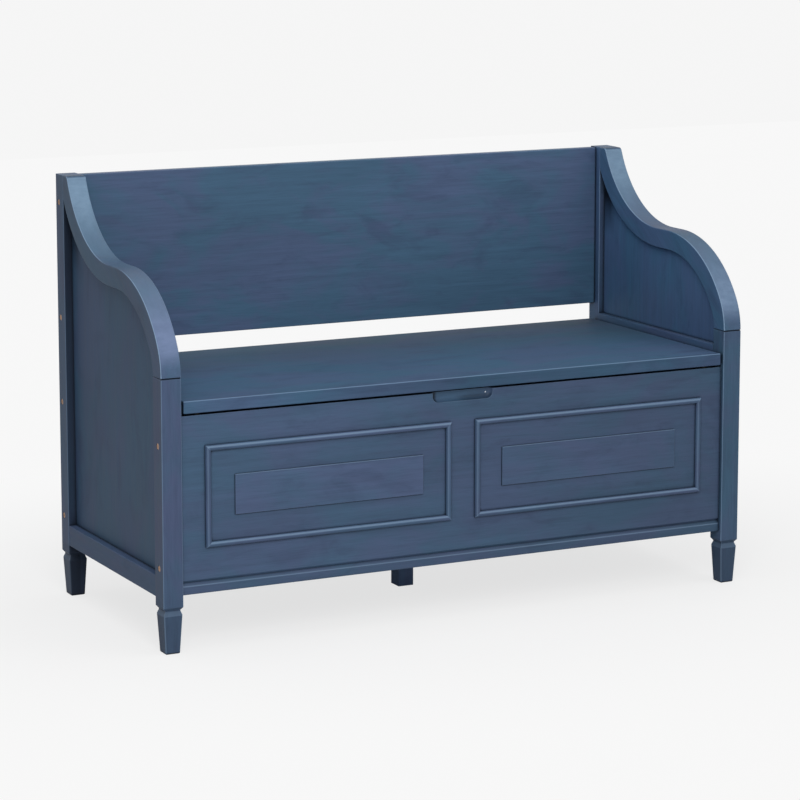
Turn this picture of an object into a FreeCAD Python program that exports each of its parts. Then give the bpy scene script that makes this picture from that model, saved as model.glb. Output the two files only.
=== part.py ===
import FreeCAD, Part
import math
import os

# Settle bench with a lift-up seat over a storage box.
# Millimetres. X runs along the bench, positive to the right as seen from the front.
# Y runs from front to back, Z is up. The origin is on the floor under the middle of the bench.

os.makedirs("parts", exist_ok=True)

# Overall sizes
bench_width = 1067.0
bench_depth = 454.0
bench_height = 718.0
seat_height = 403.2
post_size = 34.0
post_edge_radius = 1.5
board_edge_radius = 1.5

# Feet, cut on the lower ends of the posts
foot_height = 62.0
foot_top_inset = 1.1
foot_toe_inset = 4.4
foot_ease = 2.0
foot_edge_radius = 2.4
neck_inset = 4.0
neck_land = 1.5
neck_low_rise = 7.5
neck_high_rise = 5.0

# Arm rails. The radii belong to the upper line, and the hollow sweep takes up what is left.
arm_joint_rise = 38.0
arm_turn_deg = 60.0
arm_shoulder_radius = 200.0
arm_nose_radius = 104.0
arm_flat = 31.9
arm_top_flat = 52.3
arm_corner_radius = 8.0
arm_edge_radius = 1.8
groove_size = 1.6

# Seat lid and the gaps round it
lid_thickness = 20.2
lid_end_gap = 4.4
lid_front_gap = 4.2
lid_front_setback = 2.0
lid_back_setback = 19.0
lid_edge_radius = 2.0

# Front panel, back of the box and backrest
panel_thickness = 18.0
front_panel_setback = 7.5
box_back_setback = 4.5
backrest_thickness = 18.5
backrest_setback = 1.0
backrest_gap = 28.3
backrest_top_drop = 1.6

# Bottom rails and floor of the box
rail_low_z = 92.0
rail_height = 19.0
rail_depth = 34.0
bead_depth = 4.0
bead_rise = 5.5
panel_bevel_rise = 4.4
side_rail_drop = 3.4
side_rail_height = 34.8
side_rail_setback = 0.8
floor_thickness = 12.0

# Side panels
side_panel_recess = 14.2
side_panel_thickness = 9.5
tongue = 6.0
tongue_room = 0.5

# Seat level rails and lid bearers
seat_rail_rise = 10.8
seat_rail_height = 64.0
bearer_width = 20.0
bearer_height = 20.0

# Mouldings and raised fields on the front panel
mould_width = 9.5
mould_base = 1.6
frame_end_margin = 41.5
frame_half_gap = 22.0
frame_low_margin = 54.2
frame_high_margin = 49.1
field_end_margin = 51.1
field_low_margin = 48.4
field_high_margin = 50.8
field_thickness = 2.5
field_bevel = 0.8

# Finger scoop in the top edge of the front panel, with a small domed pin
scoop_width = 111.0
scoop_height = 16.3
scoop_depth = 9.0
scoop_end_radius = 11.0
scoop_cove_radius = 7.5
scoop_pin_inset = 8.5
scoop_pin_rise = 9.0
scoop_pin_radius = 1.2
scoop_pin_dome = 2.2
scoop_pin_length = 5.5

# Centre support
centre_bearer_width = 34.0
leg_width = 28.0
leg_depth = 30.0
leg_floor_gap = 6.0
leg_edge_radius = 1.0

# Knock-down bolts with cross dowel nuts
bolt_radius = 3.0
bolt_clearance = 0.15
bolt_length = 58.0
bolt_tip_room = 0.4
head_radius = 5.0
head_height = 2.3
head_depth = 0.3
head_clearance = 0.3
head_dome = 0.9
socket_across = 3.2
socket_depth = 1.5
rear_bolt_setback = 13.0
backrest_bolt_inset = 45.2
box_bolt_low_rise = 26.5
box_bolt_high_drop = 50.0
nut_radius = 5.0
nut_length = 13.0
nut_hole_offset = 4.6
nut_reach = 22.0
nut_slack = 0.05
thread_slack = 0.02

# Dowels, all alike
dowel_radius = 4.0
dowel_slack = 0.05
dowel_length = 36.0
dowel_end_room = 0.5
dowel_cover = 0.8
side_dowel_inset = 8.5
side_dowel_rise = 9.0
arm_dowel_drop = 14.0
leg_dowel_drop = 5.0

# Lid hinges
hinge_inset = 169.5
hinge_pin_radius = 1.0
pin_clearance = 0.05
knuckle_radius = 2.2
knuckle_room = 0.3
knuckle_count = 5
knuckle_length = 12.0
knuckle_gap = 0.3
leaf_thickness = 1.2
leaf_reach = 12.0
leaf_rise = 14.5

# Screws, all alike
screw_radius = 1.5
screw_head_radius = 3.0
screw_head_height = 1.2
screw_length = 14.0
screw_slack = 0.05
leaf_screw_pitch = 21.6

# Lid stays, one at each end of the box
stay_side_gap = 5.5
stay_plate = 3.0
stay_gap = 0.3
stay_width = 14.0
stay_reach = 149.5
stay_lid_drop = 14.2
stay_base_reach = 14.5
stay_base_drop = 53.0
stay_rivet_radius = 3.0
stay_head_radius = 4.6
stay_head = 1.0
stay_leaf = 2.0
stay_leaf_width = 15.0
stay_base_leaf_length = 40.0
stay_base_screw_pitch = 26.0
stay_lid_leaf_length = 36.0
stay_lid_screw_pitch = 22.0

# Bumpers under the lid's front edge
bumper_radius = 5.0
bumper_inset = 31.5

# Places worked out from the sizes above
half = bench_width / 2
inner_x = half - post_size
post_mid_x = half - post_size / 2
front_y = -bench_depth / 2
back_y = bench_depth / 2
front_post_back = front_y + post_size
back_post_front = back_y - post_size
arm_joint_z = seat_height + arm_joint_rise
lid_low_z = seat_height - lid_thickness
lid_front = front_y + lid_front_setback
lid_back = back_y - lid_back_setback
panel_front = front_y + front_panel_setback
panel_back = panel_front + panel_thickness
panel_top = lid_low_z - lid_front_gap
box_back_rear = back_y - box_back_setback
box_back_front = box_back_rear - panel_thickness
backrest_back = back_y - backrest_setback
backrest_front = backrest_back - backrest_thickness
backrest_low_z = seat_height + backrest_gap
backrest_high_z = bench_height - backrest_top_drop
rail_top_z = rail_low_z + rail_height
front_rail_back = panel_front + rail_depth
rear_rail_front = box_back_rear - rail_depth
side_rail_low = rail_low_z - side_rail_drop
side_rail_top = side_rail_low + side_rail_height
floor_top = rail_top_z + floor_thickness
side_in = half - side_panel_recess - side_panel_thickness
seat_rail_top = seat_height + seat_rail_rise
hinge_x = inner_x - hinge_inset
hinge_y = lid_back + knuckle_radius + knuckle_room
hinge_z = lid_low_z + knuckle_radius + knuckle_room
hinge_half = knuckle_count * knuckle_length / 2


def box(x0, x1, y0, y1, z0, z1):
    return Part.makeBox(x1 - x0, y1 - y0, z1 - z0, FreeCAD.Vector(x0, y0, z0))


def rod(x, y, z, radius, length, axis):
    return Part.makeCylinder(radius, length, FreeCAD.Vector(x, y, z), FreeCAD.Vector(*axis))


def mirrored(shape):
    return shape.mirror(FreeCAD.Vector(0, 0, 0), FreeCAD.Vector(1, 0, 0))


def save(name, shape):
    shape.exportStep("parts/" + name + ".step")


def save_pair(stem, right_shape):
    save("right_" + stem, right_shape)
    save("left_" + stem, mirrored(right_shape))


def long_edges(shape, axis, least):
    picked = []
    for edge in shape.Edges:
        if edge.Length < least:
            continue
        way = edge.tangentAt(edge.FirstParameter)
        if abs(way.dot(FreeCAD.Vector(*axis))) > 0.999:
            picked.append(edge)
    return picked


def eased_board(x0, x1, y0, y1, z0, z1, radius):
    board = box(x0, x1, y0, y1, z0, z1)
    return board.makeFillet(radius, board.Edges)


# A post is cut from square stock. Its foot has a neck groove and tapers to the floor.
# The same half width profile is used both ways, so the cuts meet in mitres at the corners.
def post(x_mid, y_mid, top_z, grooved_top):
    r = post_size / 2
    neck_low = foot_height + neck_low_rise
    neck_high = neck_low + neck_land
    side = [
        (r - foot_toe_inset - foot_ease, 0),
        (r - foot_toe_inset, foot_ease),
        (r - foot_top_inset, foot_height),
        (r - neck_inset, neck_low),
        (r - neck_inset, neck_high),
        (r, neck_high + neck_high_rise),
    ]
    if grooved_top:
        side.append((r, top_z - groove_size))
        side.append((r - groove_size, top_z))
    else:
        side.append((r, top_z))
    other = [(-h, z) for h, z in reversed(side)]
    ring = side + other
    along_y = [FreeCAD.Vector(x_mid + h, y_mid - r - 1, z) for h, z in ring]
    along_x = [FreeCAD.Vector(x_mid - r - 1, y_mid + h, z) for h, z in ring]
    first = Part.Face(Part.makePolygon(along_y + along_y[:1]))
    second = Part.Face(Part.makePolygon(along_x + along_x[:1]))
    first = first.extrude(FreeCAD.Vector(0, post_size + 2, 0))
    second = second.extrude(FreeCAD.Vector(post_size + 2, 0, 0))
    stock = box(x_mid - r, x_mid + r, y_mid - r, y_mid + r, 0, top_z)
    stock = stock.makeFillet(post_edge_radius, long_edges(stock, (0, 0, 1), top_z / 2))
    whole = first.common(second).common(stock)
    arrises = []
    for edge in whole.Edges:
        span = edge.BoundBox
        on_foot = span.ZMax < foot_height + 0.1 and span.ZMin > foot_ease - 0.1
        if on_foot and span.ZLength > foot_height / 2:
            arrises.append(edge)
    return whole.makeFillet(foot_edge_radius, arrises)


# The arm's S line: a hollow sweep down from the back post, a short flat, a rounded shoulder
# and a tighter nose that comes down square on the front post. Every band that follows it is
# offset from the upper line, so one function gives the arm, its groove and the panel's edge.
turn = math.radians(arm_turn_deg)
radius_step = arm_shoulder_radius - arm_nose_radius
shoulder_run = radius_step * math.sin(turn) + arm_nose_radius
shoulder_rise = arm_shoulder_radius - radius_step * math.cos(turn)
arm_flat_z = arm_joint_z + shoulder_rise
flat_front_y = front_y + shoulder_run
shoulder_z = arm_flat_z - arm_shoulder_radius
nose_y = flat_front_y - radius_step * math.sin(turn)
nose_z = shoulder_z + radius_step * math.cos(turn)
sweep_y = flat_front_y + arm_flat
sweep_run = back_y - arm_top_flat - sweep_y
sweep_rise = bench_height - arm_flat_z
sweep_radius = (sweep_run ** 2 + sweep_rise ** 2) / (2 * sweep_rise)
sweep_z = arm_flat_z + sweep_radius


def sweep_point(drop, angle):
    reach = sweep_radius + drop
    return FreeCAD.Vector(0, sweep_y + reach * math.sin(angle), sweep_z - reach * math.cos(angle))


def shoulder_point(drop, angle):
    reach = arm_shoulder_radius - drop
    y = flat_front_y - reach * math.sin(angle)
    return FreeCAD.Vector(0, y, shoulder_z + reach * math.cos(angle))


def nose_point(drop, angle):
    reach = arm_nose_radius - drop
    return FreeCAD.Vector(0, nose_y - reach * math.sin(angle), nose_z + reach * math.cos(angle))


def arc(start, middle, end):
    return Part.Arc(start, middle, end).toShape()


def line(start, end):
    return Part.LineSegment(start, end).toShape()


def s_line(drop, last_angle):
    quarter = math.pi / 2
    return [
        arc(sweep_point(drop, last_angle), sweep_point(drop, last_angle / 2), sweep_point(drop, 0)),
        line(sweep_point(drop, 0), shoulder_point(drop, 0)),
        arc(shoulder_point(drop, 0), shoulder_point(drop, turn / 2), shoulder_point(drop, turn)),
        arc(
            nose_point(drop, turn),
            nose_point(drop, (turn + quarter) / 2),
            nose_point(drop, quarter),
        ),
    ]


def extruded(edges, x0, x1):
    face = Part.Face(Part.Wire(Part.__sortEdges__(edges)))
    face.translate(FreeCAD.Vector(x0, 0, 0))
    return face.extrude(FreeCAD.Vector(x1 - x0, 0, 0))


def arm_rail():
    top_angle = math.acos((sweep_z - bench_height) / sweep_radius)
    low_angle = math.asin((back_post_front - sweep_y) / (sweep_radius + post_size))
    upper = s_line(0, top_angle)
    lower = s_line(post_size, low_angle)
    top_start = sweep_point(0, top_angle)
    low_start = sweep_point(post_size, low_angle)
    top_back = FreeCAD.Vector(0, back_post_front, bench_height)
    front_end = nose_point(0, math.pi / 2)
    back_end = nose_point(post_size, math.pi / 2)
    closing = [
        line(top_start, top_back),
        line(top_back, low_start),
        line(front_end, back_end),
    ]
    band = extruded(upper + lower + closing, inner_x, half)
    crest = []
    for edge in band.Edges:
        centre = edge.CenterOfMass
        across = abs(edge.tangentAt(edge.FirstParameter).x) > 0.99
        if across and abs(centre.y - top_start.y) < 0.5 and abs(centre.z - bench_height) < 0.5:
            crest.append(edge)
    band = band.makeFillet(arm_corner_radius, crest)
    arrises = []
    for edge in band.Edges:
        box_of = edge.BoundBox
        on_side = box_of.XLength < 0.01
        at_joint = box_of.ZLength < 0.01 and abs(box_of.ZMin - arm_joint_z) < 0.5
        at_post = box_of.YLength < 0.01 and abs(box_of.YMin - back_post_front) < 0.5
        if on_side and not at_joint and not at_post:
            arrises.append(edge)
    band = band.makeFillet(arm_edge_radius, arrises)
    return band.cut(joint_groove())


# The groove round the joint of arm and post: what lies outside a tapered plug is cut away.
def joint_groove():
    y_mid = (front_y + front_post_back) / 2
    r = post_size / 2
    low = square_wire(post_mid_x, y_mid, r - groove_size, arm_joint_z)
    high = square_wire(post_mid_x, y_mid, r, arm_joint_z + groove_size)
    plug = Part.makeLoft([low, high], True, True)
    slab = box(
        inner_x - 2,
        half + 2,
        front_y - 2,
        front_post_back + 2,
        arm_joint_z,
        arm_joint_z + groove_size,
    )
    return slab.cut(plug)


def square_wire(x, y, r, z):
    corners = [(x - r, y - r), (x + r, y - r), (x + r, y + r), (x - r, y + r)]
    points = [FreeCAD.Vector(a, b, z) for a, b in corners]
    return Part.makePolygon(points + points[:1])


# The side panel fills the frame below the arm and enters grooves all round.
# With room added it is also the cutter for those grooves.
def side_panel_solid(room):
    reach = tongue + room
    drop = post_size - reach
    y_rear = back_post_front + reach
    y_front = front_post_back - reach
    z_low = side_rail_top - reach
    end_angle = math.asin((back_post_front - sweep_y) / (sweep_radius + drop))
    top_start = sweep_point(drop, end_angle)
    rear_top = FreeCAD.Vector(0, y_rear, top_start.z)
    rear_low = FreeCAD.Vector(0, y_rear, z_low)
    front_low = FreeCAD.Vector(0, y_front, z_low)
    front_top = nose_point(drop, math.pi / 2)
    closing = [
        line(top_start, rear_top),
        line(rear_top, rear_low),
        line(rear_low, front_low),
        line(front_low, front_top),
    ]
    return extruded(s_line(drop, end_angle) + closing, side_in, side_in + side_panel_thickness)


# Dowels. Each entry gives the middle of a dowel and its direction.
rail_dowel_z = (rail_low_z + rail_top_z) / 2
side_dowel_x = half - side_dowel_inset
side_dowel_low = side_rail_low + side_dowel_rise
side_dowel_high = side_rail_top - tongue - tongue_room - dowel_cover - dowel_radius
front_rail_mid = (panel_front + front_post_back) / 2 + bead_depth / 2
rear_rail_mid = (back_post_front + box_back_rear) / 2
dowels = []
for side in (-1, 1):
    dowels.append((side * post_mid_x, front_y + post_size / 2, arm_joint_z, (0, 0, 1)))
    dowels.append((side * post_mid_x, back_post_front, bench_height - arm_dowel_drop, (0, 1, 0)))
    for dowel_y in (front_post_back, back_post_front):
        dowels.append((side * side_dowel_x, dowel_y, side_dowel_low, (0, 1, 0)))
        dowels.append((side * side_dowel_x, dowel_y, side_dowel_high, (0, 1, 0)))
    dowels.append((side * inner_x, front_rail_mid, rail_dowel_z, (1, 0, 0)))
    dowels.append((side * inner_x, rear_rail_mid, rail_dowel_z, (1, 0, 0)))
    dowels.append((side * leg_width / 4, 0, rail_low_z - leg_dowel_drop, (0, 0, 1)))
dowels.append((0, front_rail_back, rail_dowel_z, (0, 1, 0)))
dowels.append((0, rear_rail_front, rail_dowel_z, (0, 1, 0)))


def dowel(entry, radius, length):
    x, y, z, way = entry
    start = FreeCAD.Vector(x, y, z) - FreeCAD.Vector(*way) * (length / 2)
    return Part.makeCylinder(radius, length, start, FreeCAD.Vector(*way))


dowel_solids = [dowel(d, dowel_radius - dowel_slack, dowel_length) for d in dowels]
dowel_hole_length = dowel_length + 2 * dowel_end_room
dowel_holes = Part.makeCompound([dowel(d, dowel_radius, dowel_hole_length) for d in dowels])

# Bolts through the posts. Each entry is side, y, z and the way from the hole in the nut
# towards the nut's longer end, which is the way to the face the nut is put in from.
front_bolt_y = panel_front + panel_thickness / 2
rear_bolt_y = back_y - rear_bolt_setback
bolts = []
for side in (-1, 1):
    for bolt_z in (rail_top_z + box_bolt_low_rise, lid_low_z - box_bolt_high_drop):
        bolts.append((side, front_bolt_y, bolt_z, 1))
        bolts.append((side, rear_bolt_y, bolt_z, -1))
    for bolt_z in (backrest_low_z + backrest_bolt_inset, backrest_high_z - backrest_bolt_inset):
        bolts.append((side, rear_bolt_y, bolt_z, 1))
head_seat = half - head_depth - head_height


def bolt(entry):
    side, y, z, _ = entry
    face = side * (half - head_depth)
    inward = (-side, 0, 0)
    head = rod(face, y, z, head_radius, head_height, inward)
    rim = [e for e in head.Edges if abs(e.CenterOfMass.x - face) < 0.01]
    head = head.makeFillet(head_dome, rim)
    shank = rod(side * head_seat, y, z, bolt_radius, bolt_length, inward)
    hexagon = []
    for corner in range(6):
        angle = corner * math.pi / 3
        reach = socket_across / math.sqrt(3)
        point = FreeCAD.Vector(face, y + reach * math.cos(angle), z + reach * math.sin(angle))
        hexagon.append(point)
    socket = Part.Face(Part.makePolygon(hexagon + hexagon[:1]))
    socket = socket.extrude(FreeCAD.Vector(-side * socket_depth, 0, 0))
    return head.fuse(shank).cut(socket)


def bolt_hole(entry):
    side, y, z, _ = entry
    inward = (-side, 0, 0)
    sink_length = half - head_seat
    sink = rod(side * half, y, z, head_radius + head_clearance, sink_length, inward)
    bore_length = sink_length + bolt_length + bolt_tip_room
    bore = rod(side * half, y, z, bolt_radius + bolt_clearance, bore_length, inward)
    return sink.fuse(bore)


def nut(entry, radius, longer):
    side, y, z, way = entry
    start = FreeCAD.Vector(side * (inner_x - nut_reach), y - way * nut_hole_offset, z)
    return Part.makeCylinder(radius, nut_length + longer, start, FreeCAD.Vector(0, way, 0))


def threaded_nut(entry):
    side, y, z, _ = entry
    thread = rod(side * half, y, z, bolt_radius + thread_slack, half, (-side, 0, 0))
    return nut(entry, nut_radius - nut_slack, 0).cut(thread)


bolt_solids = [bolt(b) for b in bolts]
nut_solids = [threaded_nut(b) for b in bolts]
bolt_holes = [bolt_hole(b) for b in bolts]
nut_holes = [nut(b, nut_radius, panel_thickness / 2) for b in bolts]
bolt_holes = Part.makeCompound(bolt_holes + nut_holes)

# Lid stay. Arm and strut with the hinge line and the base pivot make a parallelogram, so the
# arm turns just as far as the lid and the strut keeps its direction.
stay_x = inner_x - bearer_width - stay_side_gap
inner_low = stay_x - stay_plate
outer_low = stay_x + stay_gap
outer_high = outer_low + stay_plate
stay_base_y = box_back_front - stay_base_reach
stay_base_z = lid_low_z - stay_base_drop
stay_lid_y = hinge_y - stay_reach
stay_lid_z = hinge_z - stay_lid_drop
elbow_y = stay_base_y + stay_lid_y - hinge_y
elbow_z = stay_base_z + stay_lid_z - hinge_z

# Countersunk screws. Each entry is the middle of the head's face and the way it points in.
leaf_mid = hinge_y + (leaf_reach + knuckle_radius) / 2
leaf_high = hinge_z + (leaf_rise + knuckle_radius) / 2
base_screws = []
lid_screws = []
for side in (-1, 1):
    for step in (-1, 0, 1):
        x = side * hinge_x + step * leaf_screw_pitch
        base_screws.append((x, leaf_mid, lid_low_z + leaf_thickness, (0, 0, -1)))
        lid_screws.append((x, lid_back + leaf_thickness, leaf_high, (0, -1, 0)))
    base_x = side * (inner_low - (stay_leaf_width - stay_plate) / 2)
    lid_x = side * (outer_low - (stay_leaf_width - stay_plate) / 2)
    for step in (-0.5, 0.5):
        z = stay_base_z + step * stay_base_screw_pitch
        y = stay_lid_y + step * stay_lid_screw_pitch
        base_screws.append((base_x, box_back_front - stay_leaf, z, (0, 1, 0)))
        lid_screws.append((lid_x, y, lid_low_z - stay_leaf, (0, 0, 1)))


def screw(entry, slack, longer):
    x, y, z, way = entry
    place = FreeCAD.Vector(x, y, z)
    inward = FreeCAD.Vector(*way)
    wide = screw_head_radius + slack
    narrow = screw_radius + slack
    head = Part.makeCone(wide, narrow, screw_head_height, place, inward)
    shank = Part.makeCylinder(narrow, screw_length + longer, place, inward)
    return head.fuse(shank)


base_screw_solids = [screw(s, 0, 0) for s in base_screws]
lid_screw_solids = [screw(s, 0, 0) for s in lid_screws]
base_screw_holes = Part.makeCompound([screw(s, screw_slack, 1) for s in base_screws])
lid_screw_holes = Part.makeCompound([screw(s, screw_slack, 1) for s in lid_screws])

# Side frames
panel_cutter = side_panel_solid(tongue_room)
right_front = post(post_mid_x, front_y + post_size / 2, arm_joint_z, True)
right_front = right_front.cut(panel_cutter).cut(bolt_holes).cut(dowel_holes)
right_rear = post(post_mid_x, back_y - post_size / 2, bench_height, False)
right_rear = right_rear.cut(panel_cutter).cut(bolt_holes).cut(dowel_holes)
right_arm = arm_rail().cut(panel_cutter).cut(dowel_holes)
side_rail = box(
    inner_x,
    half - side_rail_setback,
    front_post_back,
    back_post_front,
    side_rail_low,
    side_rail_top,
)
side_rail = side_rail.makeFillet(board_edge_radius, long_edges(side_rail, (0, 1, 0), 10))
side_rail = side_rail.cut(panel_cutter).cut(dowel_holes)
seat_rail = box(
    inner_x,
    side_in,
    front_post_back,
    back_post_front,
    seat_rail_top - seat_rail_height,
    seat_rail_top,
)
seat_rail_arris = []
for edge in long_edges(seat_rail, (0, 1, 0), 10):
    if edge.CenterOfMass.x < inner_x + 0.1:
        seat_rail_arris.append(edge)
seat_rail = seat_rail.makeFillet(board_edge_radius, seat_rail_arris)
lid_bearer = box(
    inner_x - bearer_width,
    inner_x,
    panel_back,
    box_back_front,
    lid_low_z - bearer_height,
    lid_low_z,
)

save_pair("front_post", right_front)
save_pair("rear_post", right_rear)
save_pair("arm_rail", right_arm)
save_pair("side_panel", side_panel_solid(0))
save_pair("side_rail", side_rail)
save_pair("seat_level_rail", seat_rail)
save_pair("lid_bearer", lid_bearer)


# Backrest
backrest = eased_board(
    -inner_x,
    inner_x,
    backrest_front,
    backrest_back,
    backrest_low_z,
    backrest_high_z,
    board_edge_radius,
)
backrest = backrest.cut(bolt_holes)
save("backrest", backrest)

# Front panel with its finger scoop. The lower edge is bevelled over the bottom rail's bead.
front_panel = box(-inner_x, inner_x, panel_front, panel_back, rail_top_z, panel_top)


def long_wedge(points):
    corners = [FreeCAD.Vector(-inner_x - 1, y, z) for y, z in points]
    face = Part.Face(Part.makePolygon(corners + corners[:1]))
    return face.extrude(FreeCAD.Vector(2 * inner_x + 2, 0, 0))


panel_bevel = long_wedge([
    (panel_front - 1, rail_top_z - 1),
    (panel_front + bead_depth, rail_top_z - 1),
    (panel_front + bead_depth, rail_top_z),
    (panel_front, rail_top_z + panel_bevel_rise),
    (panel_front - 1, rail_top_z + panel_bevel_rise),
])


scoop_half = scoop_width / 2
scoop_low = panel_top - scoop_height
scoop_wall = panel_front + scoop_depth
scoop_over = panel_top + scoop_height


def scoop_cutter():
    tool = box(-scoop_half, scoop_half, panel_front - scoop_depth, scoop_wall, scoop_low, scoop_over)
    ends = []
    for edge in long_edges(tool, (0, 1, 0), scoop_depth):
        if edge.CenterOfMass.z < panel_top:
            ends.append(edge)
    tool = tool.makeFillet(scoop_end_radius, ends)
    cove = []
    for edge in tool.Edges:
        span = edge.BoundBox
        on_wall = span.YLength < 0.01 and abs(span.YMin - scoop_wall) < 0.01
        on_top = span.ZMin > scoop_over - 0.01
        if on_wall and not on_top:
            cove.append(edge)
    return tool.makeFillet(scoop_cove_radius, cove)


# A small domed pin sits in the back wall of the scoop, near its right end.
scoop_pin_x = scoop_half - scoop_pin_inset
scoop_pin_z = scoop_low + scoop_pin_rise
pin_place = FreeCAD.Vector(scoop_pin_x, scoop_wall, scoop_pin_z)
pin_hole = Part.makeCylinder(
    scoop_pin_radius + pin_clearance,
    scoop_pin_length + 1,
    pin_place,
    FreeCAD.Vector(0, 1, 0),
)
pin_shank = Part.makeCylinder(scoop_pin_radius, scoop_pin_length, pin_place, FreeCAD.Vector(0, 1, 0))
pin_ball = Part.makeSphere(scoop_pin_dome, pin_place)
pin_front = Part.makeCylinder(scoop_pin_dome, scoop_pin_dome, pin_place, FreeCAD.Vector(0, -1, 0))
pin_head = pin_ball.common(pin_front)
front_panel = front_panel.cut(panel_bevel).cut(scoop_cutter())
front_panel = front_panel.cut(bolt_holes).cut(pin_hole)
save("front_panel", front_panel)
save("scoop_pin", pin_shank.fuse(pin_head))

# Bottom rails. The front one carries the bead that shows under the panel.
front_rail = box(-inner_x, inner_x, panel_front, front_rail_back, rail_low_z, rail_top_z)
low_front = []
for edge in long_edges(front_rail, (1, 0, 0), inner_x):
    if edge.CenterOfMass.y < panel_front + 1 and edge.CenterOfMass.z < rail_low_z + 1:
        low_front.append(edge)
front_rail = front_rail.makeFillet(board_edge_radius, low_front)
bead_cut = long_wedge([
    (panel_front - 1, rail_top_z + 1),
    (panel_front + bead_depth, rail_top_z + 1),
    (panel_front + bead_depth, rail_top_z),
    (panel_front, rail_top_z - bead_rise),
    (panel_front - 1, rail_top_z - bead_rise),
])
front_rail = front_rail.cut(bead_cut).cut(dowel_holes)
save("front_rail", front_rail)
rear_rail = box(-inner_x, inner_x, rear_rail_front, box_back_rear, rail_low_z, rail_top_z)
save("rear_rail", rear_rail.cut(dowel_holes))

# Box back and floor
box_back = box(-inner_x, inner_x, box_back_front, box_back_rear, rail_top_z, lid_low_z)
box_back = box_back.cut(bolt_holes).cut(base_screw_holes)
save("box_back", box_back)
floor_board = box(-inner_x, inner_x, panel_back, box_back_front, rail_top_z, floor_top)
save("box_floor", floor_board)

# Centre bearer and support leg
centre_bearer = box(
    -centre_bearer_width / 2,
    centre_bearer_width / 2,
    front_rail_back,
    rear_rail_front,
    rail_low_z,
    rail_top_z,
)
save("centre_bearer", centre_bearer.cut(dowel_holes))
centre_leg = box(
    -leg_width / 2,
    leg_width / 2,
    -leg_depth / 2,
    leg_depth / 2,
    leg_floor_gap,
    rail_low_z,
)
leg_edges = long_edges(centre_leg, (0, 0, 1), leg_width)
save("centre_leg", centre_leg.makeFillet(leg_edge_radius, leg_edges).cut(dowel_holes))


# Half round mouldings, mitred round each raised field
def mould_profile():
    crest = mould_base + mould_width / 2
    points = [
        FreeCAD.Vector(0, 0, 0),
        FreeCAD.Vector(0, -mould_base, 0),
        FreeCAD.Vector(0, -crest, mould_width / 2),
        FreeCAD.Vector(0, -mould_base, mould_width),
        FreeCAD.Vector(0, 0, mould_width),
    ]
    edges = [
        line(points[0], points[1]),
        Part.Arc(points[1], points[2], points[3]).toShape(),
        line(points[3], points[4]),
        line(points[4], points[0]),
    ]
    return Part.Face(Part.Wire(edges))


# One strip lies along the X axis from the origin with its outer edge at zero height.
# Both ends are cut at 45 degrees towards the inner edge.
def mould_strip(length):
    bar = mould_profile().extrude(FreeCAD.Vector(length, 0, 0))
    deep = mould_base + mould_width
    corners = [(0, 0), (length, 0), (length - mould_width, mould_width), (mould_width, mould_width)]
    points = [FreeCAD.Vector(x, -deep, z) for x, z in corners]
    keep = Part.Face(Part.makePolygon(points + points[:1]))
    return bar.common(keep.extrude(FreeCAD.Vector(0, 2 * deep, 0)))


def placed_strip(length, x, z, degrees):
    strip = mould_strip(length)
    strip.rotate(FreeCAD.Vector(0, 0, 0), FreeCAD.Vector(0, -1, 0), degrees)
    strip.translate(FreeCAD.Vector(x, panel_front, z))
    return strip


frame_outer = inner_x - frame_end_margin
frame_low = rail_top_z + frame_low_margin
frame_high = panel_top - frame_high_margin
frame_long = frame_outer - frame_half_gap
frame_tall = frame_high - frame_low
save_pair("moulding_low", placed_strip(frame_long, frame_half_gap, frame_low, 0))
save_pair("moulding_outer", placed_strip(frame_tall, frame_outer, frame_low, 90))
save_pair("moulding_high", placed_strip(frame_long, frame_outer, frame_high, 180))
save_pair("moulding_inner", placed_strip(frame_tall, frame_half_gap, frame_high, 270))

field = box(
    frame_half_gap + field_end_margin,
    frame_outer - field_end_margin,
    panel_front - field_thickness,
    panel_front,
    frame_low + field_low_margin,
    frame_high - field_high_margin,
)
field_rim = []
for edge in field.Edges:
    if edge.BoundBox.YMax < panel_front - field_thickness + 0.01:
        field_rim.append(edge)
save_pair("raised_field", field.makeChamfer(field_bevel, field_rim))

# Lid
lid = eased_board(
    -inner_x + lid_end_gap,
    inner_x - lid_end_gap,
    lid_front,
    lid_back,
    lid_low_z,
    seat_height,
    lid_edge_radius,
)
save("seat_lid", lid.cut(lid_screw_holes))


# Butt hinges. Knuckles of the two leaves alternate on one pin.
def knuckle_spans(middle, first):
    start = middle - hinge_half
    spans = []
    for index in range(first, knuckle_count, 2):
        low = start + index * knuckle_length
        spans.append((low, low + knuckle_length - knuckle_gap))
    return spans


def barrel(low, high, radius):
    return rod(low, hinge_y, hinge_z, radius, high - low, (1, 0, 0))


def hinge_leaf(middle, fixed):
    low = middle - hinge_half
    high = middle + hinge_half - knuckle_gap
    if fixed:
        plate = box(low, high, hinge_y, hinge_y + leaf_reach, lid_low_z, lid_low_z + leaf_thickness)
        own = knuckle_spans(middle, 0)
        other = knuckle_spans(middle, 1)
    else:
        plate = box(low, high, lid_back, lid_back + leaf_thickness, hinge_z, hinge_z + leaf_rise)
        own = knuckle_spans(middle, 1)
        other = knuckle_spans(middle, 0)
    for start, end in other:
        plate = plate.cut(barrel(start - knuckle_gap, end + knuckle_gap, knuckle_radius + knuckle_room))
    for start, end in own:
        plate = plate.fuse(barrel(start, end, knuckle_radius))
    plate = plate.cut(barrel(low - 1, high + 1, hinge_pin_radius + pin_clearance))
    holes = base_screw_holes if fixed else lid_screw_holes
    return plate.cut(holes).removeSplitter()


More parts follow.
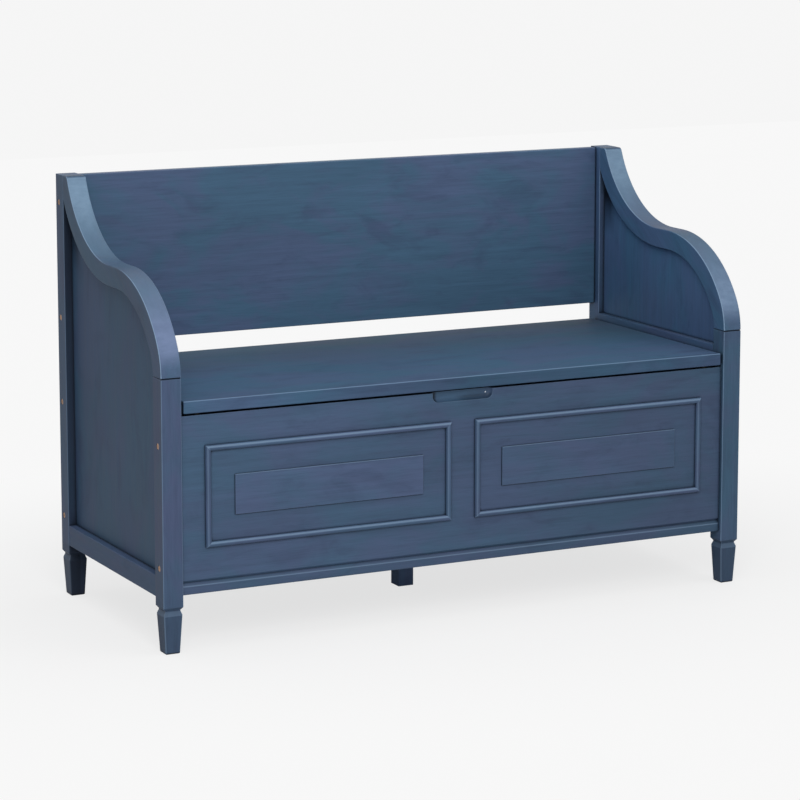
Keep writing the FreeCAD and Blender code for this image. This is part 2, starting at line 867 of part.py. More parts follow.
hinge_pin = barrel(hinge_x - hinge_half, hinge_x + hinge_half - knuckle_gap, hinge_pin_radius)
save_pair("hinge_fixed_leaf", hinge_leaf(hinge_x, True))
save_pair("hinge_lid_leaf", hinge_leaf(hinge_x, False))
save("hinge_pins", Part.makeCompound([hinge_pin, mirrored(hinge_pin)]))


# A bar of the stay has round ends about its two rivets.
def link(x0, x1, start, end, radius):
    y0, z0 = start
    y1, z1 = end
    span = math.hypot(y1 - y0, z1 - z0)
    side_y = -(z1 - z0) / span * radius
    side_z = (y1 - y0) / span * radius
    corners = [
        FreeCAD.Vector(x0, y0 + side_y, z0 + side_z),
        FreeCAD.Vector(x0, y1 + side_y, z1 + side_z),
        FreeCAD.Vector(x0, y1 - side_y, z1 - side_z),
        FreeCAD.Vector(x0, y0 - side_y, z0 - side_z),
    ]
    bar = Part.Face(Part.makePolygon(corners + corners[:1])).extrude(FreeCAD.Vector(x1 - x0, 0, 0))
    for y, z in (start, end):
        bar = bar.fuse(rod(x0, y, z, radius, x1 - x0, (1, 0, 0)))
    return bar.removeSplitter()


def rivet_hole(y, z):
    length = outer_high - inner_low + 2 * stay_plate
    return rod(inner_low - stay_plate, y, z, stay_rivet_radius + pin_clearance, length, (1, 0, 0))


def rivet(y, z):
    low = inner_low - stay_gap
    shank = rod(low, y, z, stay_rivet_radius, outer_high + stay_gap - low, (1, 0, 0))
    first = rod(low - stay_head, y, z, stay_head_radius, stay_head, (1, 0, 0))
    second = rod(outer_high + stay_gap, y, z, stay_head_radius, stay_head, (1, 0, 0))
    return shank.fuse([first, second])


base_point = (stay_base_y, stay_base_z)
elbow_point = (elbow_y, elbow_z)
lid_point = (stay_lid_y, stay_lid_z)
stay_arm = link(outer_low, outer_high, base_point, elbow_point, stay_width / 2)
stay_arm = stay_arm.cut(rivet_hole(*base_point)).cut(rivet_hole(*elbow_point))
stay_strut = link(inner_low, stay_x, elbow_point, lid_point, stay_width / 2)
stay_strut = stay_strut.cut(rivet_hole(*elbow_point)).cut(rivet_hole(*lid_point))

base_leaf = box(
    stay_x - stay_leaf_width,
    stay_x,
    box_back_front - stay_leaf,
    box_back_front,
    stay_base_z - stay_base_leaf_length / 2,
    stay_base_z + stay_base_leaf_length / 2,
)
base_web = box(
    inner_low,
    stay_x,
    stay_base_y,
    box_back_front,
    stay_base_z - stay_width / 2,
    stay_base_z + stay_width / 2,
)
base_eye = rod(inner_low, stay_base_y, stay_base_z, stay_width / 2, stay_plate, (1, 0, 0))
stay_base = base_leaf.fuse([base_web, base_eye]).cut(base_screw_holes)
stay_base = stay_base.cut(rivet_hole(*base_point)).removeSplitter()

lid_leaf = box(
    outer_high - stay_leaf_width,
    outer_high,
    stay_lid_y - stay_lid_leaf_length / 2,
    stay_lid_y + stay_lid_leaf_length / 2,
    lid_low_z - stay_leaf,
    lid_low_z,
)
lid_web = box(
    outer_low,
    outer_high,
    stay_lid_y - stay_width / 2,
    stay_lid_y + stay_width / 2,
    stay_lid_z,
    lid_low_z,
)
lid_eye = rod(outer_low, stay_lid_y, stay_lid_z, stay_width / 2, stay_plate, (1, 0, 0))
stay_lid_plate = lid_leaf.fuse([lid_web, lid_eye]).cut(lid_screw_holes)
stay_lid_plate = stay_lid_plate.cut(rivet_hole(*lid_point)).removeSplitter()

save_pair("stay_base", stay_base)
save_pair("stay_arm", stay_arm)
save_pair("stay_strut", stay_strut)
save_pair("stay_lid_plate", stay_lid_plate)
save_pair("stay_elbow_rivet", rivet(*elbow_point))
base_rivet = rivet(*base_point)
lid_rivet = rivet(*lid_point)
save("stay_base_rivets", Part.makeCompound([base_rivet, mirrored(base_rivet)]))
save("stay_lid_rivets", Part.makeCompound([lid_rivet, mirrored(lid_rivet)]))

# Rubber bumpers under the lid's front edge
bumpers = []
for side in (-1, 1):
    bumper = rod(
        side * (inner_x - bumper_inset),
        (panel_front + panel_back) / 2,
        panel_top,
        bumper_radius,
        lid_front_gap,
        (0, 0, 1),
    )
    bumpers.append(bumper)
save("lid_bumpers", Part.makeCompound(bumpers))

# Fasteners
save("frame_bolts", Part.makeCompound(bolt_solids))
save("cross_dowel_nuts", Part.makeCompound(nut_solids))
save("frame_dowels", Part.makeCompound(dowel_solids))
save("base_screws", Part.makeCompound(base_screw_solids))
save("lid_screws", Part.makeCompound(lid_screw_solids))
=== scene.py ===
import bpy
import math
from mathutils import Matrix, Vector

# A blue stained settle bench. Every CAD node keeps its mesh and gets a procedural material.
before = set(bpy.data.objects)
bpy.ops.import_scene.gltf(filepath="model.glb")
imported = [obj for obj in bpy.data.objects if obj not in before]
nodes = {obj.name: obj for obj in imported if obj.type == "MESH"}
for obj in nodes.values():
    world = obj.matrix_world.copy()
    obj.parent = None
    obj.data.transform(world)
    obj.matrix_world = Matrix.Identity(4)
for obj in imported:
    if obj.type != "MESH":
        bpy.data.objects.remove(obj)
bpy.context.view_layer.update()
scene = bpy.context.scene

# Camera at the photograph's angle. The lens is in millimetres, the places in metres.
IMAGE_WIDTH = 800
FOCAL_PIXELS = 2984.85
SENSOR = 36.0
CAMERA_PLACE = (-2.2528, -4.4560, 1.2598)
CAMERA_YAW = 26.7774
CAMERA_PITCH = 8.7430
CAMERA_SHIFT = -0.12

camera_data = bpy.data.cameras.new("camera")
camera_data.sensor_width = SENSOR
camera_data.lens = FOCAL_PIXELS * SENSOR / IMAGE_WIDTH
camera_data.shift_y = CAMERA_SHIFT
camera_data.clip_start = 0.1
camera_data.clip_end = 100
camera = bpy.data.objects.new("camera", camera_data)
camera.location = CAMERA_PLACE
camera.rotation_euler = (math.radians(90 - CAMERA_PITCH), 0, math.radians(-CAMERA_YAW))
scene.collection.objects.link(camera)
scene.camera = camera
scene.view_settings.view_transform = "Standard"


def linear(r, g, b):
    """A display colour, 0 to 255, as the linear value that a shader takes."""
    out = []
    for value in (r, g, b):
        share = value / 255
        out.append(share / 12.92 if share <= 0.04045 else ((share + 0.055) / 1.055) ** 2.4)
    return (*out, 1.0)


def grey(value):
    return (value, value, value, 1.0)


class Tree:
    """Builds one material's node tree with few words. A value is a number or a socket."""

    def __init__(self, name):
        self.material = bpy.data.materials.new(name)
        self.material.use_nodes = True
        self.tree = self.material.node_tree
        self.tree.nodes.clear()
        self.out = self.add("ShaderNodeOutputMaterial")

    def add(self, kind, **settings):
        node = self.tree.nodes.new(kind)
        for key, value in settings.items():
            setattr(node, key, value)
        return node

    def put(self, socket, value):
        if isinstance(value, bpy.types.NodeSocket):
            self.tree.links.new(value, socket)
        else:
            socket.default_value = value

    def principled(self, colour, roughness, **extra):
        shader = self.add("ShaderNodeBsdfPrincipled")
        self.put(shader.inputs["Base Color"], colour)
        self.put(shader.inputs["Roughness"], roughness)
        for key, value in extra.items():
            self.put(shader.inputs[key.replace("_", " ")], value)
        self.put(self.out.inputs["Surface"], shader.outputs[0])
        return shader

    def coords(self, scale, shift, turn=0.0):
        """Object coordinates, turned about X by some degrees, then stretched."""
        where = self.add("ShaderNodeTexCoord").outputs["Object"]
        if turn:
            spin = self.add("ShaderNodeMapping")
            spin.inputs["Rotation"].default_value = (math.radians(turn), 0, 0)
            self.put(spin.inputs["Vector"], where)
            where = spin.outputs[0]
        mapping = self.add("ShaderNodeMapping")
        mapping.inputs["Scale"].default_value = scale
        mapping.inputs["Location"].default_value = shift
        self.put(mapping.inputs["Vector"], where)
        return mapping.outputs[0]

    def noise(self, vector, detail=3.0, roughness=0.5, distortion=0.0):
        """Noise of size 1, as the vector is already stretched to the wanted size."""
        node = self.add("ShaderNodeTexNoise")
        self.put(node.inputs["Vector"], vector)
        node.inputs["Scale"].default_value = 1.0
        node.inputs["Detail"].default_value = detail
        node.inputs["Roughness"].default_value = roughness
        node.inputs["Distortion"].default_value = distortion
        return node.outputs["Fac"]

    def span(self, value, low, high, out_low=0.0, out_high=1.0, smooth=False):
        """The value carried over from one range to another, and held at the ends."""
        node = self.add("ShaderNodeMapRange")
        node.interpolation_type = "SMOOTHSTEP" if smooth else "LINEAR"
        self.put(node.inputs["Value"], value)
        node.inputs["From Min"].default_value = low
        node.inputs["From Max"].default_value = high
        node.inputs["To Min"].default_value = out_low
        node.inputs["To Max"].default_value = out_high
        return node.outputs["Result"]

    def math(self, kind, first, second=0.0, clamp=False):
        node = self.add("ShaderNodeMath", operation=kind, use_clamp=clamp)
        self.put(node.inputs[0], first)
        self.put(node.inputs[1], second)
        return node.outputs[0]

    def product(self, first, *others):
        """The values multiplied in turn."""
        for other in others:
            first = self.math("MULTIPLY", first, other)
        return first

    def mix(self, factor, first, second, blend="MIX"):
        node = self.add("ShaderNodeMix", data_type="RGBA", blend_type=blend, clamp_result=False)
        self.put(node.inputs[0], factor)
        self.put(node.inputs[6], first)
        self.put(node.inputs[7], second)
        return node.outputs[2]

    def shade(self, colour, amount):
        """The colour multiplied by a number."""
        node = self.add("ShaderNodeVectorMath", operation="SCALE")
        self.put(node.inputs[0], colour[:3] if isinstance(colour, tuple) else colour)
        self.put(node.inputs["Scale"], amount)
        return node.outputs[0]

    def corners(self, distance):
        """1 in the open, towards 0 in a corner."""
        node = self.add("ShaderNodeAmbientOcclusion", samples=8)
        node.inputs["Distance"].default_value = distance
        return node.outputs["AO"]

    def place(self, letter, output="Object"):
        """One coordinate of the point in the piece's own frame."""
        where = self.add("ShaderNodeTexCoord").outputs[output]
        parts = self.add("ShaderNodeSeparateXYZ")
        self.put(parts.inputs[0], where)
        return parts.outputs[letter]

    def normal(self, letter):
        """One coordinate of the surface's normal in the piece's own frame."""
        return self.place(letter, "Normal")

    def absolute(self, value):
        return self.math("ABSOLUTE", value)

    def edges(self, radius):
        """0 on a flat face, rising near an edge."""
        bevel = self.add("ShaderNodeBevel", samples=6)
        bevel.inputs["Radius"].default_value = radius
        true = self.add("ShaderNodeNewGeometry").outputs["True Normal"]
        dot = self.add("ShaderNodeVectorMath", operation="DOT_PRODUCT")
        self.put(dot.inputs[0], bevel.outputs[0])
        self.put(dot.inputs[1], true)
        return self.math("SUBTRACT", 1.0, dot.outputs["Value"])

    def bump(self, height, strength, distance):
        node = self.add("ShaderNodeBump")
        node.inputs["Strength"].default_value = strength
        node.inputs["Distance"].default_value = distance
        self.put(node.inputs["Height"], height)
        return node.outputs[0]


# Stained and lacquered wood. Colours are what the surface shows in plain light, but the dark
# corner colour also serves as painted shade, and the worn and sanded colours also serve as
# painted highlights.
VIOLET = linear(70, 80, 111)
TEAL = linear(58, 86, 110)
NAVY = linear(52, 66, 92)
GLAZE_AND_SHADE = linear(14, 22, 34)
# This light colour paints real wear and also painted highlights.
WEAR_AND_HIGHLIGHT = linear(116, 140, 166)
SANDED_HIGHLIGHT = linear(112, 138, 162)
SANDED_HIGHLIGHT_LOW = linear(104, 120, 152)

# Tints that a colour is multiplied by: painted shade on the outer faces, painted light on the
# inner faces, and a duller seat
SHADED_SIDE = (0.72, 0.73, 0.74, 1.0)
PAINTED_INNER_LIGHT = (1.12, 1.28, 1.36, 1.0)
DULL_SEAT = (0.92, 0.77, 0.64, 1.0)

# How far wear reaches from an arris, and painted corner shade from a corner, in metres
WEAR_RADIUS = 0.0022
WEAR_SHARE = 0.5
NARROW_CORNER = 0.0065
WIDE_CORNER = 0.026

# Places on the bench in metres. A pair is a ramp from its first value to its second.
ARM_JOINT_Z = 0.4412
ARM_NOSE_Z = (0.59, 0.52)
RAIL_ARRIS_Z = 0.1055
FOOT_Z = (0.078, 0.074)
REAR_FOOT_Z = (0.094, 0.086)
ABOVE_SEAT_Z = (0.39, 0.41)
OUTER_FACE_X = (0.500, 0.512)
INNER_FACE_X = (0.516, 0.510)
PANEL_FACE_X = (0.501, 0.508)
OUTSIDE_PANEL_X = (0.5115, 0.5135)
SCOOP_FLOOR_Z = (0.358, 0.361)
SCOOP_MOUTH_Y = (-0.2192, -0.2175)

# The arm's grain leans by this angle, in degrees
ARM_GRAIN_TURN = -38

# A normal's coordinate, from a slanted face to a square one
SQUARE_ON = (0.6, 0.9)
EASED = (0.2, 0.45)


def stained_wood(
    name,
    axis,
    seed,
    tone=1.0,
    turn=0.0,
    lean=0.5,
    contrast=0.5,
    gloss=0.50,
    level=0.2,
    corner_shade=0.8,
    deep=0.0,
    marks=(),
):
    """Level streaks along one axis, patches of two blues, painted shade in corners and worn
    arrises.

    tone is the colour's lightness, turn the grain's slope in degrees, lean the share of TEAL
    against VIOLET and contrast how far patches stray from it. gloss is the roughness and level
    the strength of the shine. corner_shade and deep set how much painted shade darkens narrow
    and wide corners. Each of the marks takes the tree and the colour so far, and gives the new
    colour.
    """
    t = Tree(name)
    shift = (seed * 3.17, seed * 1.93, seed * 2.41)

    def grain(along, across):
        return t.coords(tuple(along if a == axis else across for a in "XYZ"), shift, turn)

    patches = t.noise(grain(5.5, 11.0), 5.0, 0.62, 0.6)
    clouds = t.noise(grain(2.4, 4.2), 3.0, 0.5, 0.3)
    blots = t.noise(grain(9.0, 24.0), 4.0, 0.6, 0.8)
    streaks = t.noise(grain(6.0, 130.0), 5.0, 0.62, 0.4)
    pores = t.noise(grain(22.0, 620.0), 2.0, 0.6)
    hue = t.span(patches, 0.36, 0.64, lean - contrast / 2, lean + contrast / 2, smooth=True)
    colour = t.mix(hue, VIOLET, TEAL)
    colour = t.mix(t.span(blots, 0.50, 0.72, 0.0, 0.45, smooth=True), colour, NAVY)
    colour = t.shade(colour, t.span(clouds, 0.3, 0.7, tone * 0.94, tone * 1.07))
    colour = t.shade(colour, t.span(streaks, 0.3, 0.7, 0.90, 1.09))
    colour = t.shade(colour, t.span(pores, 0.34, 0.5, 0.91, 1.0))
    for mark in marks:
        colour = mark(t, colour)
    open_air = t.corners(NARROW_CORNER)
    rub = t.noise(grain(14.0, 34.0), 3.0, 0.6)
    edge = t.span(t.edges(WEAR_RADIUS), 0.03, 0.22, 0.0, WEAR_SHARE)
    edge = t.product(edge, t.span(rub, 0.35, 0.62, 0.35, 1.0), t.span(open_air, 0.75, 0.95))
    colour = t.mix(edge, colour, WEAR_AND_HIGHLIGHT)
    # Painted shade: narrow corners, found by ambient occlusion, are darkened towards the dark
    # corner colour.
    dark = t.span(open_air, 0.46, 0.88, corner_shade, 0.0, smooth=True)
    colour = t.mix(dark, colour, GLAZE_AND_SHADE)
    # Painted shade in wide corners, also found by ambient occlusion.
    if deep:
        wide = t.span(t.corners(WIDE_CORNER), 0.40, 0.74, deep, 0.0, smooth=True)
        colour = t.mix(wide, colour, GLAZE_AND_SHADE)
    shine = t.span(streaks, 0.3, 0.7, gloss - 0.05, gloss + 0.06)
    surface = t.principled(colour, shine, Specular_IOR_Level=level)
    t.put(surface.inputs["Normal"], t.bump(t.math("ADD", streaks, pores), 0.22, 0.0004))
    return t.material


def outer_face_shade(t, colour):
    """The outer faces of the two ends are painted greyer and darker, as painted shade."""
    out = t.span(t.absolute(t.place("X")), *OUTER_FACE_X)
    facing = t.span(t.absolute(t.normal("X")), *SQUARE_ON)
    return t.mix(t.product(out, facing), colour, SHADED_SIDE, "MULTIPLY")


def inner_face_light(t, colour):
    """The faces that look at each other across the seat are painted lighter and bluer, more so
    higher up: painted light.
    """
    from_middle = t.absolute(t.place("X"))
    inside = t.span(from_middle, *INNER_FACE_X)
    facing = t.span(t.absolute(t.normal("X")), *SQUARE_ON)
    above = t.span(t.place("Z"), *ABOVE_SEAT_Z)
    # Painted light, growing with height.
    painted_lit = t.shade(colour, t.span(t.place("Z"), 0.45, 0.62, 1.0, 1.25))
    painted_lit = t.shade(painted_lit, t.span(from_middle, *PANEL_FACE_X, 0.84, 1.10))
    tinted = t.mix(1.0, painted_lit, PAINTED_INNER_LIGHT, "MULTIPLY")
    return t.mix(t.product(inside, facing, above), colour, tinted)


def sanded_band_highlight(t, colour):
    """The arm rail's bent edge is lighter, partly sanded and partly a painted highlight, most
    where it slopes up and forward. Its flat top gets painted shade.
    """
    up = t.normal("Z")
    band = t.span(t.absolute(t.normal("X")), 0.35, 0.8, 1.0, 0.0, smooth=True)
    below_top = t.span(t.place("Z"), 0.7150, 0.7168, 1.0, 0.0)
    # Painted highlight, strongest where the normal points up and forward.
    steep = t.span(up, 0.10, 0.48, 0.05, 0.85, smooth=True)
    not_level = t.span(up, 0.95, 0.5, 0.3, 1.0, smooth=True)
    forward = t.span(t.normal("Y"), -0.1, -0.4)
    light = t.product(t.product(band, below_top), t.product(t.product(steep, not_level), forward))
    brushed = t.noise(t.coords((60.0, 12.0, 260.0), (0.4, 1.7, 2.3), -30), 3.0, 0.6)
    light = t.product(light, t.span(brushed, 0.3, 0.7, 0.8, 1.12))
    violet = t.span(t.place("X"), -0.1, 0.1, 1.0, 0.45)
    low = t.product(t.span(t.place("Z"), *ARM_NOSE_Z), violet)
    colour = t.mix(light, colour, t.mix(low, SANDED_HIGHLIGHT, SANDED_HIGHLIGHT_LOW))
    # Painted shade on the rail's flat top.
    return t.shade(colour, t.span(t.place("Z"), 0.7170, 0.7176, 1.0, 0.72))


def arm_arris_wear_highlight(t, colour):
    """The long arrises of the arm rail are rubbed through, more on the left, where a painted
    highlight is added to the wear.
    """
    side = t.normal("X")
    left = t.product(t.span(side, -0.25, -0.5), t.span(side, -0.97, -0.86))
    right = t.product(t.span(side, 0.25, 0.5), t.span(side, 0.97, 0.86))
    forward = t.span(t.normal("Y"), 0.0, -0.25)
    both = t.math("ADD", t.product(right, 0.3), left)
    return t.mix(t.math("MULTIPLY", both, forward, clamp=True), colour, WEAR_AND_HIGHLIGHT)


def joint_line(t, colour):
    """Dark stain fills the groove between arm and post, on the edge that faces forward."""
    from_joint = t.absolute(t.math("SUBTRACT", t.place("Z"), ARM_JOINT_Z))
    near = t.span(from_joint, 0.0009, 0.0014, 0.9, 0.0)
    front = t.span(t.place("Y"), -0.222, -0.2245)
    return t.mix(t.product(near, front), colour, GLAZE_AND_SHADE)


def post_wear_and_light(t, colour):
    """Rubbed vertical arrises that also carry a painted highlight, painted shade on the foot, and
    a painted highlight on the shoulder below its neck.
    """
    across = t.absolute(t.product(t.normal("X"), t.normal("Y")))
    forward = t.span(t.normal("Y"), 0.0, -0.2)
    rubbed = t.product(t.span(across, 0.12, 0.40, 0.0, 0.42), forward)
    colour = t.mix(rubbed, colour, WEAR_AND_HIGHLIGHT)
    # Painted shade on the foot, deeper towards the right.
    low = t.span(t.place("Z"), *FOOT_Z)
    colour = t.mix(low, colour, t.shade(colour, t.span(t.place("X"), -0.4, 0.4, 0.82, 0.70)))
    # Painted highlight on the shoulder, which faces up.
    shoulder = t.product(t.span(t.normal("Z"), 0.2, 0.6, 0.0, 0.45), low)
    return t.mix(shoulder, colour, WEAR_AND_HIGHLIGHT)


def rear_post_shade(t, colour):
    """Painted shade on the rear post's front face outside the panel, and on its foot."""
    out = t.span(t.absolute(t.place("X")), *OUTSIDE_PANEL_X)
    forward = t.span(t.normal("Y"), -0.6, -0.9)
    high = t.span(t.place("Z"), 0.10, 0.60, 0.55, 0.85)
    colour = t.mix(t.product(out, forward, high), colour, GLAZE_AND_SHADE)
    foot = t.span(t.place("Z"), *REAR_FOOT_Z)
    front = t.span(t.normal("Y"), -0.3, -0.8, 0.25, 0.7)
    return t.mix(t.product(foot, front), colour, GLAZE_AND_SHADE)


def panel_wedge_shadow(t, colour):
    """A painted shadow where the arm's underside meets the rear post above the side panel."""
    high = t.span(t.place("Z"), 0.56, 0.63)
    back = t.span(t.place("Y"), 0.150, 0.170)
    return t.mix(t.product(high, back), colour, GLAZE_AND_SHADE)


def scoop_shadow(t, colour):
    """Painted shade in the finger scoop, in its left round end and low on its right."""
    inside = t.product(t.span(t.place("Y"), *SCOOP_MOUTH_Y), t.span(t.place("Z"), *SCOOP_FLOOR_Z))
    # Painted light: the scoop's inside is lightened first, against the painted corner shade.
    colour = t.mix(inside, colour, t.shade(colour, 1.3))
    left = t.span(t.place("X"), -0.0425, -0.0490, 0.0, 0.85, smooth=True)
    right = t.span(t.place("X"), -0.015, 0.015, 0.1, 0.5, smooth=True)
    low = t.product(t.span(t.place("Z"), 0.3725, 0.3675, smooth=True), right)
    return t.mix(t.product(t.math("MAXIMUM", left, low), inside), colour, GLAZE_AND_SHADE)


def front_right_shade(t, colour):
    """The front is painted a little darker towards its right end, as painted shade."""
    return t.shade(colour, t.span(t.place("X"), -0.35, 0.5, 1.0, 0.82))


def field_step_light(t, colour):
    """Painted shade on a raised field's left and lower steps, and a painted highlight on its top
    step.
    """
    left = t.span(t.normal("X"), -0.75, -0.95, 0.0, 0.9)
    low = t.span(t.normal("Z"), -0.3, -0.6, 0.0, 0.75)
    high = t.span(t.normal("Z"), 0.3, 0.6, 0.0, 0.35)
    return t.mix(high, t.mix(t.math("MAXIMUM", left, low), colour, GLAZE_AND_SHADE), WEAR_AND_HIGHLIGHT)


def crest_highlight(t, colour):
    """A painted highlight along the upper and left flank of a moulding's round."""
    node = t.add("ShaderNodeVectorMath", operation="DOT_PRODUCT")
    t.put(node.inputs[0], t.add("ShaderNodeTexCoord").outputs["Normal"])
    node.inputs[1].default_value = (-0.34, -0.80, 0.50)
    crest = t.span(node.outputs["Value"], 0.80, 0.97, 0.0, 0.62, smooth=True)
    return t.mix(crest, colour, WEAR_AND_HIGHLIGHT)


def lid_arris(t, colour):
    """A rubbed line along the front upper arris of the lid."""
    forward = t.span(t.normal("Y"), -0.2, -0.45)
    up = t.span(t.normal("Z"), *EASED, 0.0, 0.5)
    return t.mix(t.product(forward, up), colour, WEAR_AND_HIGHLIGHT)


def lid_rear(t, colour):
    """Towards the backrest the seat's colour is a little greener and duller, in patches."""
    cloudy = t.noise(t.coords((3.0, 7.0, 3.0), (2.2, 0.7, 0.0)), 3.0, 0.5)
    patchy = t.span(cloudy, 0.3, 0.7, 0.45, 1.0)
    amount = t.product(t.span(t.place("Y"), -0.10, 0.16, smooth=True), patchy)
    return t.mix(amount, colour, DULL_SEAT, "MULTIPLY")


def lid_front(t, colour):
    """The lid's front edge is stained deeper, most in its middle."""
    facing = t.span(t.normal("Y"), -0.7, -0.95)
    where = t.place("X")
    deeper = t.span(where, -0.35, 0, 1.0, 0.72)
    lighter = t.span(where, 0.05, 0.3, 1.0, 1.13)
    return t.mix(facing, colour, t.shade(colour, t.product(deeper, lighter)))


def rail_arris_highlight(t, colour):
    """A painted highlight along the arris below the front rail's bevel."""
    from_arris = t.absolute(t.math("SUBTRACT", t.place("Z"), RAIL_ARRIS_Z))
    near = t.span(from_arris, 0.0004, 0.0014, 0.38, 0.0)
    front = t.span(t.place("Y"), -0.2165, -0.2185)
    return t.mix(t.product(near, front), colour, WEAR_AND_HIGHLIGHT)


def metal(name, colour, roughness, scale, metallic=1.0):
    """Plated metal, brushed across Y and slightly stained."""
    t = Tree(name)
    brushed = t.noise(t.coords((scale, scale * 6, scale), (0, 0, 0)), 4.0, 0.6)
    stain = t.noise(t.coords((60, 60, 60), (5, 0, 0)), 3.0, 0.5)
    tint = t.shade(colour, t.span(brushed, 0.3, 0.7, 0.86, 1.08))
    tint = t.shade(tint, t.span(stain, 0.35, 0.65, 0.88, 1.04))
    rough = t.span(brushed, 0.3, 0.7, roughness - 0.06, roughness + 0.08)
    t.principled(tint, rough, Metallic=metallic)
    return t.material


def plain(name, colour, roughness, scale):
    """One colour with a fine grain."""
    t = Tree(name)
    grainy = t.noise(t.coords((scale, scale, scale), (0, 0, 0)), 4.0, 0.6)
    tint = t.shade(colour, t.span(grainy, 0.3, 0.7, 0.88, 1.08))
    surface = t.principled(tint, roughness)
    t.put(surface.inputs["Normal"], t.bump(grainy, 0.2, 0.0002))
    return t.material


def dress(name, material):
    """Gives a CAD node its material in every slot."""
    node = nodes[name]
    if not node.material_slots:
        node.data.materials.append(material)
    for slot in node.material_slots:
        slot.material = material


# Grain runs along each piece, and no two pieces share a seed.
seed = 1
# On the right side the mouldings and raised fields are darker, tone 0.9, as painted shade.
for side, post_lean, trim_shade in (("left_", 0.4, 1.0), ("right_", 0.8, 0.9)):
    post = {"lean": post_lean, "tone": 0.88, "marks": (outer_face_shade, post_wear_and_light, joint_line)}
    back = {"deep": 0.6, "marks": (outer_face_shade, inner_face_light, post_wear_and_light, rear_post_shade)}
    arm = {"lean": 0.7, "turn": ARM_GRAIN_TURN}
    arm["marks"] = (outer_face_shade, inner_face_light, sanded_band_highlight, arm_arris_wear_highlight, joint_line)
    panel = {"lean": 0.65, "tone": 1.03, "level": 0.12, "deep": 0.3}
    panel["marks"] = (outer_face_shade, inner_face_light, panel_wedge_shadow)
    moulding = {"tone": trim_shade, "marks": (crest_highlight,)}
    field = {"tone": trim_shade, "corner_shade": 0.3, "marks": (field_step_light,)}
    for stem, axis, settings in (
        ("front_post", "Z", post),
        ("rear_post", "Z", back),
        ("arm_rail", "Y", arm),
        ("side_panel", "Z", panel),
        ("side_rail", "Y", {"level": 0.12, "marks": (outer_face_shade,)}),
        ("seat_level_rail", "Y", {"marks": (inner_face_light,)}),
        ("lid_bearer", "Y", {"tone": 0.8}),
        ("moulding_low", "X", moulding),
        ("moulding_high", "X", moulding),
        ("moulding_inner", "Z", moulding),
        ("moulding_outer", "Z", moulding),
        ("raised_field", "X", field),
    ):
        seed += 1
        dress(side + stem, stained_wood(side + stem, axis, seed, **settings))
seat = {"lean": 0.75, "tone": 1.12, "gloss": 0.62, "level": 0.08}
seat["marks"] = (lid_rear, lid_front, lid_arris)
for stem, axis, settings in (
    ("backrest", "X", {"lean": 0.8, "contrast": 0.9, "tone": 1.14}),
    ("seat_lid", "X", seat),
    ("front_panel", "X", {"lean": 0.6, "tone": 0.96, "marks": (scoop_shadow, front_right_shade)}),
    ("front_rail", "X", {"lean": 0.6, "tone": 0.9, "marks": (front_right_shade, rail_arris_highlight)}),
    ("rear_rail", "X", {"tone": 0.85}),
    ("box_back", "X", {"tone": 0.85}),
    ("box_floor", "X", {"tone": 0.8}),
    ("centre_bearer", "Y", {"tone": 0.8}),
    ("centre_leg", "Z", {"tone": 1.5}),
):
    seed += 1
    dress(stem, stained_wood(stem, axis, seed, **settings))

zinc = metal("zinc_plate", grey(0.55), 0.36, 220)
stay_steel = metal("stay_steel", grey(0.60), 0.45, 160, 0.6)
for name in nodes:
    if "hinge" in name or name.endswith("screws"):
        dress(name, zinc)
    elif "stay" in name:
        dress(name, stay_steel)
dress("frame_bolts", metal("copper_plate", linear(172, 138, 114), 0.45, 260, 0.5))
dress("cross_dowel_nuts", metal("dull_zinc", grey(0.40), 0.5, 200))
dress("frame_dowels", plain("beech", linear(214, 186, 146), 0.6, 160))
dress("lid_bumpers", plain("rubber", grey(0.012), 0.8, 500))
dress("scoop_pin", plain("pale_plastic", linear(248, 250, 255), 0.3, 300))

# Plain pale floor. Seen by the camera it is mostly its own light, so its shadow stays faint.
FLOOR_SIZE = 14.0
FLOOR_PALE = 0.86
FLOOR_GLOW = 0.935
GLOW_NEAR, GLOW_FAR = 0.78, 1.0
SHADOW_REACH = (0.5, 1.5)

reach = FLOOR_SIZE / 2
corners = [(-reach, -reach, 0), (reach, -reach, 0), (reach, reach, 0), (-reach, reach, 0)]
floor_mesh = bpy.data.meshes.new("floor")
floor_mesh.from_pydata(corners, [], [(0, 1, 2, 3)])
floor = bpy.data.objects.new("floor", floor_mesh)
scene.collection.objects.link(floor)
t = Tree("floor")
pale = t.add("ShaderNodeBsdfDiffuse")
t.put(pale.inputs["Color"], grey(FLOOR_PALE))
glow = t.add("ShaderNodeEmission")
t.put(glow.inputs["Color"], grey(FLOOR_GLOW))
t.put(glow.inputs["Strength"], 1.0)
path = t.add("ShaderNodeLightPath")
both = t.add("ShaderNodeMixShader")
away = t.add("ShaderNodeVectorMath", operation="LENGTH")
t.put(away.inputs[0], t.coords((1.0, 1.3, 1.0), (0, 0, 0)))
own_light = t.span(away.outputs["Value"], *SHADOW_REACH, GLOW_NEAR, GLOW_FAR, smooth=True)
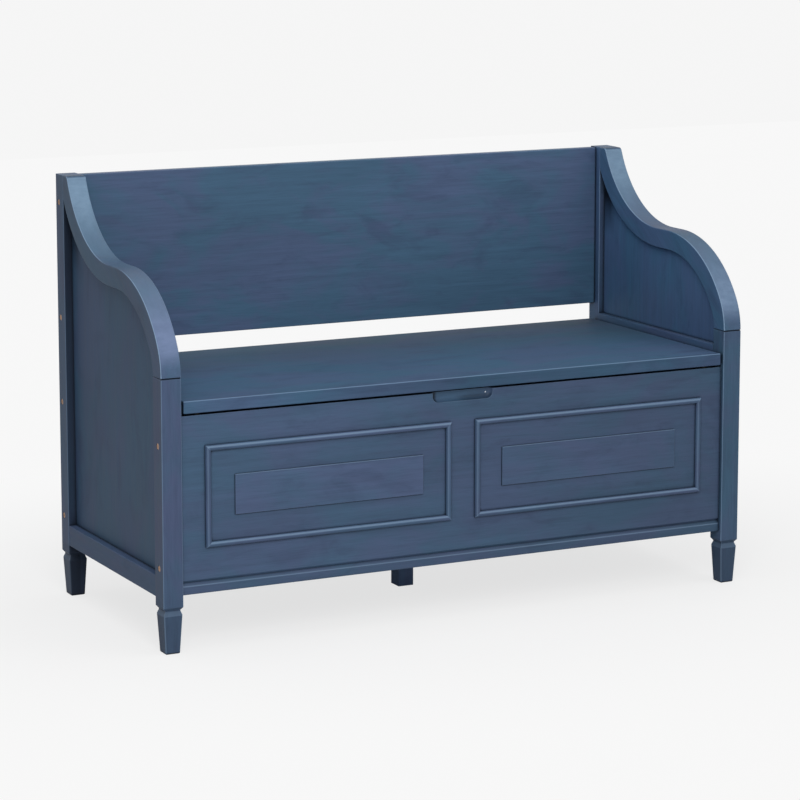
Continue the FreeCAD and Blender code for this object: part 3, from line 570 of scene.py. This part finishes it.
t.put(both.inputs[0], t.product(path.outputs["Is Camera Ray"], own_light))
t.put(both.inputs[1], pale.outputs[0])
t.put(both.inputs[2], glow.outputs[0])
t.put(t.out.inputs["Surface"], both.outputs[0])
floor_mesh.materials.append(t.material)

# World: soft fill for the surfaces, near white where it is seen or mirrored
BACKDROP = 0.918
FILL_STRENGTH = 0.47

world = bpy.data.worlds.new("world")
world.use_nodes = True
scene.world = world
wt = world.node_tree
wt.nodes.clear()
seen = wt.nodes.new("ShaderNodeBackground")
seen.inputs["Color"].default_value = grey(BACKDROP)
fill = wt.nodes.new("ShaderNodeBackground")
fill.inputs["Color"].default_value = grey(1.0)
fill.inputs["Strength"].default_value = FILL_STRENGTH
light_path = wt.nodes.new("ShaderNodeLightPath")
shown = light_path.outputs["Is Camera Ray"]
for ray in ("Is Glossy Ray", "Is Transmission Ray"):
    either = wt.nodes.new("ShaderNodeMath")
    either.operation = "MAXIMUM"
    wt.links.new(shown, either.inputs[0])
    wt.links.new(light_path.outputs[ray], either.inputs[1])
    shown = either.outputs[0]
blend = wt.nodes.new("ShaderNodeMixShader")
wt.links.new(shown, blend.inputs[0])
wt.links.new(fill.outputs[0], blend.inputs[1])
wt.links.new(seen.outputs[0], blend.inputs[2])
world_out = wt.nodes.new("ShaderNodeOutputWorld")
wt.links.new(blend.outputs[0], world_out.inputs["Surface"])


def lamp(name, place, target, size, power):
    """A rectangular lamp that faces its target. Sizes in metres, power in watts."""
    data = bpy.data.lights.new(name, "AREA")
    data.shape = "RECTANGLE"
    data.size, data.size_y = size
    data.energy = power
    light = bpy.data.objects.new(name, data)
    light.location = place
    way = Vector(target) - Vector(place)
    light.rotation_euler = way.to_track_quat("-Z", "Y").to_euler()
    scene.collection.objects.link(light)


lamp("key", (-1.35, -2.9, 2.25), (0, 0, 0.35), (1.6, 1.6), 66)
lamp("right_soft", (1.45, -1.75, 2.55), (0, 0, 0.5), (1.1, 1.1), 7)
lamp("top", (0.0, -0.4, 3.4), (0, 0, 0.4), (3.0, 2.4), 24)
